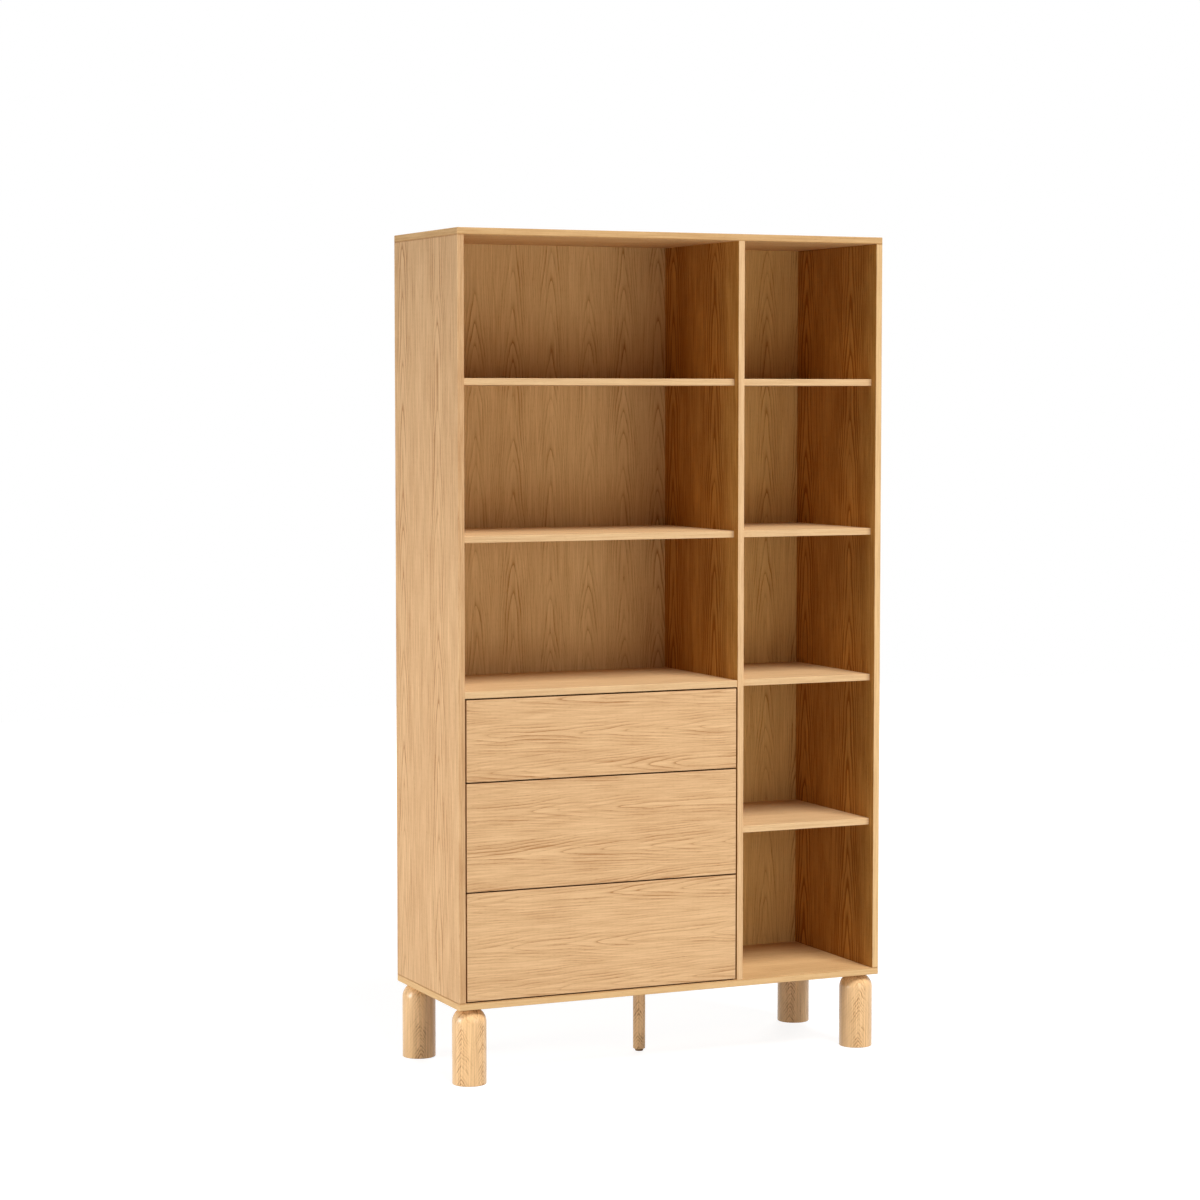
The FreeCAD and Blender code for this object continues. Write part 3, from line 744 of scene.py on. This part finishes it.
def plywood(name, along, across, thick, seed):
    # birch veneer on the faces, and the layers' edges on the narrow sides
    material, wiring, shader = startMaterial(name)
    u, v, side, place = pickAxes(wiring, along, across, thick, 1.0)[:4]
    slow = wiring.noise(wiring.join(u, wiring.times(v, plyLook["slowAlong"]), seed), *plyLook["slowNoise"])
    waves = wiring.calc("FRACT", wiring.times(slow, plyLook["waves"]))
    line = wiring.times(wiring.minus(1.0, waves), waves)
    shade = wiring.times(wiring.centred(slow), birchLook["toneWeight"])
    layer = wiring.plus(wiring.over(place[thick], plyLook["layer"]), plyLook["layerShift"])
    odd = wiring.calc("MODULO", wiring.calc("FLOOR", layer), 2.0)
    edge = wiring.calc("LESS_THAN", side, 0.5)
    shade = wiring.timesPlus(wiring.times(edge, odd), plyLook["layerTone"], shade)
    finishWood(wiring, shader, *oakColour(wiring, line, u, v, seed, shade, birchLook), birchLook)
    return material


# colour, the deeper colour of its clouds and, but for the felt, the roughness
steelRail = plated("platedRail", (0.36, 0.37, 0.385, 1.0), (0.23, 0.24, 0.255, 1.0), 0.46, (1.0, 0.02, 1.0))
steelCage = plated("brightCage", (0.50, 0.51, 0.53, 1.0), (0.30, 0.31, 0.34, 1.0), 0.30)
steelScrew = plated("platedScrew", (0.50, 0.50, 0.51, 1.0), (0.32, 0.32, 0.34, 1.0), 0.36)
zincInsert = plated("castZinc", (0.56, 0.56, 0.54, 1.0), (0.36, 0.36, 0.35, 1.0), 0.48)
greyLatch = moulded("greyLatch", (0.62, 0.62, 0.61, 1.0), (0.52, 0.52, 0.51, 1.0), 0.5)
darkPlunger = moulded("darkPlunger", (0.055, 0.055, 0.06, 1.0), (0.035, 0.035, 0.04, 1.0), 0.42)
tanFoot = moulded("tanFoot", (0.30, 0.17, 0.075, 1.0), (0.22, 0.12, 0.05, 1.0), 0.5)
brownFelt = feltCloth("brownFelt", (0.22, 0.17, 0.13, 1.0), (0.11, 0.085, 0.06, 1.0))

dress(steelRail, "case_rails")
dress(greyLatch, "latch_bodies")
dress(steelScrew, "leg_bolts")
dress(zincInsert, "leg_inserts")
dress(plywood("beechDowel", "X", "Y", "Z", 3.0), "dowels")
for name in drawerNames:
    prefix = "drawer_%s_" % name
    dress(steelRail, prefix + "rails", prefix + "mid_rails")
    dress(steelCage, prefix + "outer_cages", prefix + "inner_cages")
    dress(darkPlunger, prefix + "plungers")
    dress(plywood("birchLeft_" + name, "Y", "Z", "X", 11.0), prefix + "side_left")
    dress(plywood("birchRight_" + name, "Y", "Z", "X", 17.0), prefix + "side_right")
    dress(plywood("birchBack_" + name, "X", "Z", "Y", 23.0), prefix + "back")
    dress(plywood("birchBottom_" + name, "X", "Y", "Z", 29.0), prefix + "bottom")
print("drawer boxes, rails and latches dressed")


# Felt glides

glideShape = {
    "radius": 0.032,
    "thickness": 0.003,
    "edge": 0.0005,
    "vertices": 48,
}


def makeGlides(shape, centres):
    radius, thickness, edge = shape["radius"], shape["thickness"], shape["edge"]
    corner = edge * 0.3
    points = [(0.0, 0.0), (radius - edge, 0.0), (radius - corner, corner), (radius, edge),
              (radius, thickness - edge), (radius - corner, thickness - corner), (radius - edge, thickness),
              (0.0, thickness)]
    up = Vector((0.0, 0.0, 1.0))
    glide = turnProfile("felt_glides", points, shape["vertices"])
    return spreadOut(glide, [(Vector(centre), up) for centre in centres])


# The support leg's levelling foot

footShape = {
    "padRadius": 0.010,
    "padHeight": 0.0057,
    "edge": 0.0008,
    "grips": 18,
    "gripDepth": 0.0004,
    "stemRadius": 0.004,
    "rootRadius": 0.0036,
    "threadFrom": 0.0085,
    "top": 0.0397,
    "pitch": 0.00125,
    "vertices": 72,
}


def makeFoot(shape):
    radius, high, edge = shape["padRadius"], shape["padHeight"], shape["edge"]
    stem, root, pitch = shape["stemRadius"], shape["rootRadius"], shape["pitch"]
    points = [(0.0, 0.0), (radius - edge * 1.6, 0.0), (radius - edge * 0.5, edge * 0.4), (radius, edge * 1.4),
              (radius, high - edge), (radius - edge * 0.3, high - edge * 0.3), (radius - edge, high),
              (stem + edge, high), (stem, high + edge)]
    for turn in range(int((shape["top"] - shape["threadFrom"]) / pitch)):
        low = shape["threadFrom"] + turn * pitch
        points += [(stem, low), (root, low + pitch * 0.45), (root, low + pitch * 0.55)]
    points += [(stem, shape["top"] - edge), (root, shape["top"]), (0.0, shape["top"])]
    foot = turnProfile("threaded_foot", points, shape["vertices"])
    bpy.ops.object.mode_set(mode="EDIT")

    def onGrip(face):
        middle = face.calc_center_median()
        turn = math.degrees(math.atan2(middle.y, middle.x)) % (360.0 / shape["grips"])
        upright = abs(face.normal.z) < 0.1 and middle.xy.length > radius * 0.9
        return upright and turn < 180.0 / shape["grips"]

    pickFaces(foot, onGrip)
    narrower = 1.0 - shape["gripDepth"] / radius
    bpy.ops.transform.resize(value=(narrower, narrower, 1.0))
    bpy.ops.object.mode_set(mode="OBJECT")
    settle(foot)
    return foot


# Screws with a cross recess, at the places of the CAD's screws

screwShape = {
    "headRadius": 0.0032,
    "shankRadius": 0.0016,
    "sinkDepth": 0.0018,
    "panHeight": 0.001,
    "sunkLength": 0.014,
    "panLength": 0.011,
    "vertices": 16,
    "crossLength": 0.0036,
    "crossWidth": 0.0009,
    "crossDepth": 0.0012,
    "crossTaper": 0.45,
}


def cutCross(screw, shape):
    # two tapered slots, cut one after the other
    for turn in (0.0, math.pi / 2.0):
        clearSelection()
        bpy.ops.mesh.primitive_cube_add(size=1.0)
        cutter = startPiece("slotCutter")
        cutter.scale = (shape["crossLength"], shape["crossWidth"], shape["crossDepth"] * 2.0)
        cutter.rotation_euler = (0.0, 0.0, turn)
        bpy.ops.object.mode_set(mode="EDIT")
        pickFaces(cutter, lambda face: face.normal.z < -0.9)
        bpy.ops.transform.resize(value=(shape["crossTaper"], shape["crossTaper"], 1.0))
        bpy.ops.object.mode_set(mode="OBJECT")
        bpy.ops.object.transform_apply(location=True, rotation=True, scale=True)
        selectOnly(screw)
        cut = screw.modifiers.new("slot", "BOOLEAN")
        cut.object = cutter
        cut.operation = "DIFFERENCE"
        bpy.ops.object.modifier_apply(modifier="slot")
        bpy.data.objects.remove(cutter)


def makeScrew(name, shape, sunk):
    # the head's top lies on the origin and the shank points down
    head, shank, high = shape["headRadius"], shape["shankRadius"], shape["panHeight"]
    if sunk:
        length = shape["sunkLength"]
        points = [(0.0, -length), (shank, shank - length), (shank, -shape["sinkDepth"]), (head, -high * 0.12),
                  (head, 0.0), (0.0, 0.0)]
    else:
        length = shape["panLength"]
        points = [(0.0, -length), (shank, shank - length), (shank, -high), (head, -high),
                  (head * 0.97, -high * 0.5), (head * 0.84, -high * 0.16), (head * 0.6, 0.0), (0.0, 0.0)]
    screw = turnProfile(name, points, shape["vertices"])
    cutCross(screw, shape)
    return screw


def solidsOf(node):
    # the vertices of each solid in a CAD node
    mesh = bmesh.new()
    mesh.from_mesh(node.data)
    bmesh.ops.remove_doubles(mesh, verts=mesh.verts, dist=mergeDistance)
    waiting = set(mesh.verts)
    found = []
    for first in mesh.verts:       # in the mesh's own order, so that each run gives the same result
        if first not in waiting:
            continue
        waiting.discard(first)
        group = [first]
        for vertex in group:
            for edge in vertex.link_edges:
                other = edge.other_vert(vertex)
                if other in waiting:
                    waiting.discard(other)
                    group.append(other)
        found.append([vertex.co.copy() for vertex in group])
    mesh.free()
    return found


def screwPlace(points):
    # the head's outer end and the way it faces
    low = [min(point[k] for point in points) for k in range(3)]
    high = [max(point[k] for point in points) for k in range(3)]
    axis = max(range(3), key=lambda k: high[k] - low[k])
    middle = Vector([(a + b) / 2.0 for a, b in zip(low, high)])

    def girth(end):
        rim = [point - middle for point in points if abs(point[axis] - end) < closeEnough]
        return max(math.hypot(*[part for k, part in enumerate(gap) if k != axis]) for gap in rim)

    outward = Vector((0.0, 0.0, 0.0))
    outward[axis] = 1.0 if girth(high[axis]) > girth(low[axis]) else -1.0
    middle[axis] = high[axis] if outward[axis] > 0.0 else low[axis]
    return middle, outward


def addScrews(name, sunk, places, body, node):
    give(spreadOut(makeScrew(name, screwShape, sunk), places), steelScrew, body, node)


give(makeGlides(glideShape, legShape["centres"].values()), brownFelt, "root", "leg_glides")
give(makeFoot(footShape), tanFoot, "centre_foot", "centre_foot")
casePlaces = [screwPlace(points) for points in solidsOf(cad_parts["case_screws"])]
backPlaces = [place for place in casePlaces if place[1].y > 0.5]      # those that face the rear
otherPlaces = [place for place in casePlaces if place[1].y < 0.5]
addScrews("sunk_back_screws", True, backPlaces, "root", "case_screws")
addScrews("pan_case_screws", False, otherPlaces, "root", "case_screws")
for name in drawerNames:
    node = "drawer_%s_screws" % name
    places = [screwPlace(points) for points in solidsOf(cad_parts[node])]
    addScrews("pan_" + node, False, places, "drawer_" + name, node)
print("glides, foot and", len(casePlaces), "case screws made")


# Floor, world and lamps

studio = {
    "floorColour": (0.50, 0.50, 0.50, 1.0),
    "floorSize": 16.0,
    "shadowShare": 0.12,           # how much of what the camera sees of the floor takes the shadow
    "shadowColour": 0.288,
    "fadeFrom": 1.2,               # the shadow is let go between these distances
    "fadeTo": 4.0,
    "lamps": {
        # direction the light comes from (azimuth, elevation), distance, aim height, width, height, watts
        "key": (8.0, 56.0, 18.0, 0.7, 7.6, 7.6, 3480.0),
        "lowKey": (16.0, 0.5, 3.2, 0.95, 2.3, 1.6, 25.0),
        "left": (-90.0, 4.0, 3.2, 0.38, 1.4, 1.8, 71.0),
        "back": (143.0, 18.0, 7.0, 1.0, 3.0, 3.0, 260.0),
    },
}


def addLamp(name, azimuth, elevation, distance, aimHeight, width, height, watts):
    a, e = math.radians(azimuth), math.radians(elevation)
    away = Vector((math.sin(a) * math.cos(e), -math.cos(a) * math.cos(e), math.sin(e)))
    bpy.ops.object.light_add(type="AREA", location=Vector((0.0, 0.0, aimHeight)) + away * distance)
    lamp = bpy.context.object
    lamp.name = name + "Lamp"
    lamp.rotation_euler = away.to_track_quat("Z", "Y").to_euler()
    lamp.data.shape = "RECTANGLE"
    lamp.data.size = width
    lamp.data.size_y = height
    lamp.data.energy = watts
    lamp.visible_glossy = name != "key"      # the key leaves no spot on the turned legs


def seenDirectly(wiring):
    # 1 for camera, glossy and transmission rays
    path = wiring.add("ShaderNodeLightPath").node.outputs
    seen = wiring.calc("MAXIMUM", path["Is Camera Ray"], path["Is Glossy Ray"])
    return wiring.calc("MAXIMUM", seen, path["Is Transmission Ray"])


def addFloor(setup):
    bpy.ops.mesh.primitive_plane_add(size=setup["floorSize"], location=(0.0, 0.0, 0.0))
    floor = startPiece("studioFloor")
    material, wiring, shader = startMaterial("studioFloor")
    place = wiring.coordinates()["Object"]
    far = wiring.add("ShaderNodeVectorMath", {0: place}, "Value", operation="LENGTH")
    edge = wiring.ramp(far, setup["fadeFrom"], setup["fadeTo"])
    glow = wiring.timesPlus(edge, setup["shadowShare"], 1.0 - setup["shadowShare"])
    white = wiring.add("ShaderNodeEmission", {"Color": (1.0, 1.0, 1.0, 1.0), "Strength": glow})
    lit = wiring.add("ShaderNodeBsdfDiffuse", {"Color": setup["floorColour"]})
    dim = wiring.add("ShaderNodeBsdfDiffuse", {"Color": (setup["shadowColour"],) * 3 + (1.0,)})
    shown = wiring.add("ShaderNodeAddShader", {0: white, 1: dim})
    mixed = wiring.add("ShaderNodeMixShader", {0: seenDirectly(wiring), 1: lit, 2: shown})
    wiring.tree.nodes.remove(shader)
    wiring.put(wiring.tree.nodes["Material Output"].inputs["Surface"], mixed)
    floor.data.materials.append(material)


def addWorld():
    # white where it is seen directly, and no light of its own on the object
    world = bpy.data.worlds.new("studioWorld")
    world.use_nodes = True
    scene.world = world
    wiring = Wiring(world.node_tree)
    background = world.node_tree.nodes["Background"]
    background.inputs["Color"].default_value = (1.0, 1.0, 1.0, 1.0)
    wiring.put(background.inputs["Strength"], wiring.choose(seenDirectly(wiring), 0.0, 1.0))


addFloor(studio)
addWorld()
for name, numbers in studio["lamps"].items():
    addLamp(name, *numbers)
print("floor, world and lamps placed")
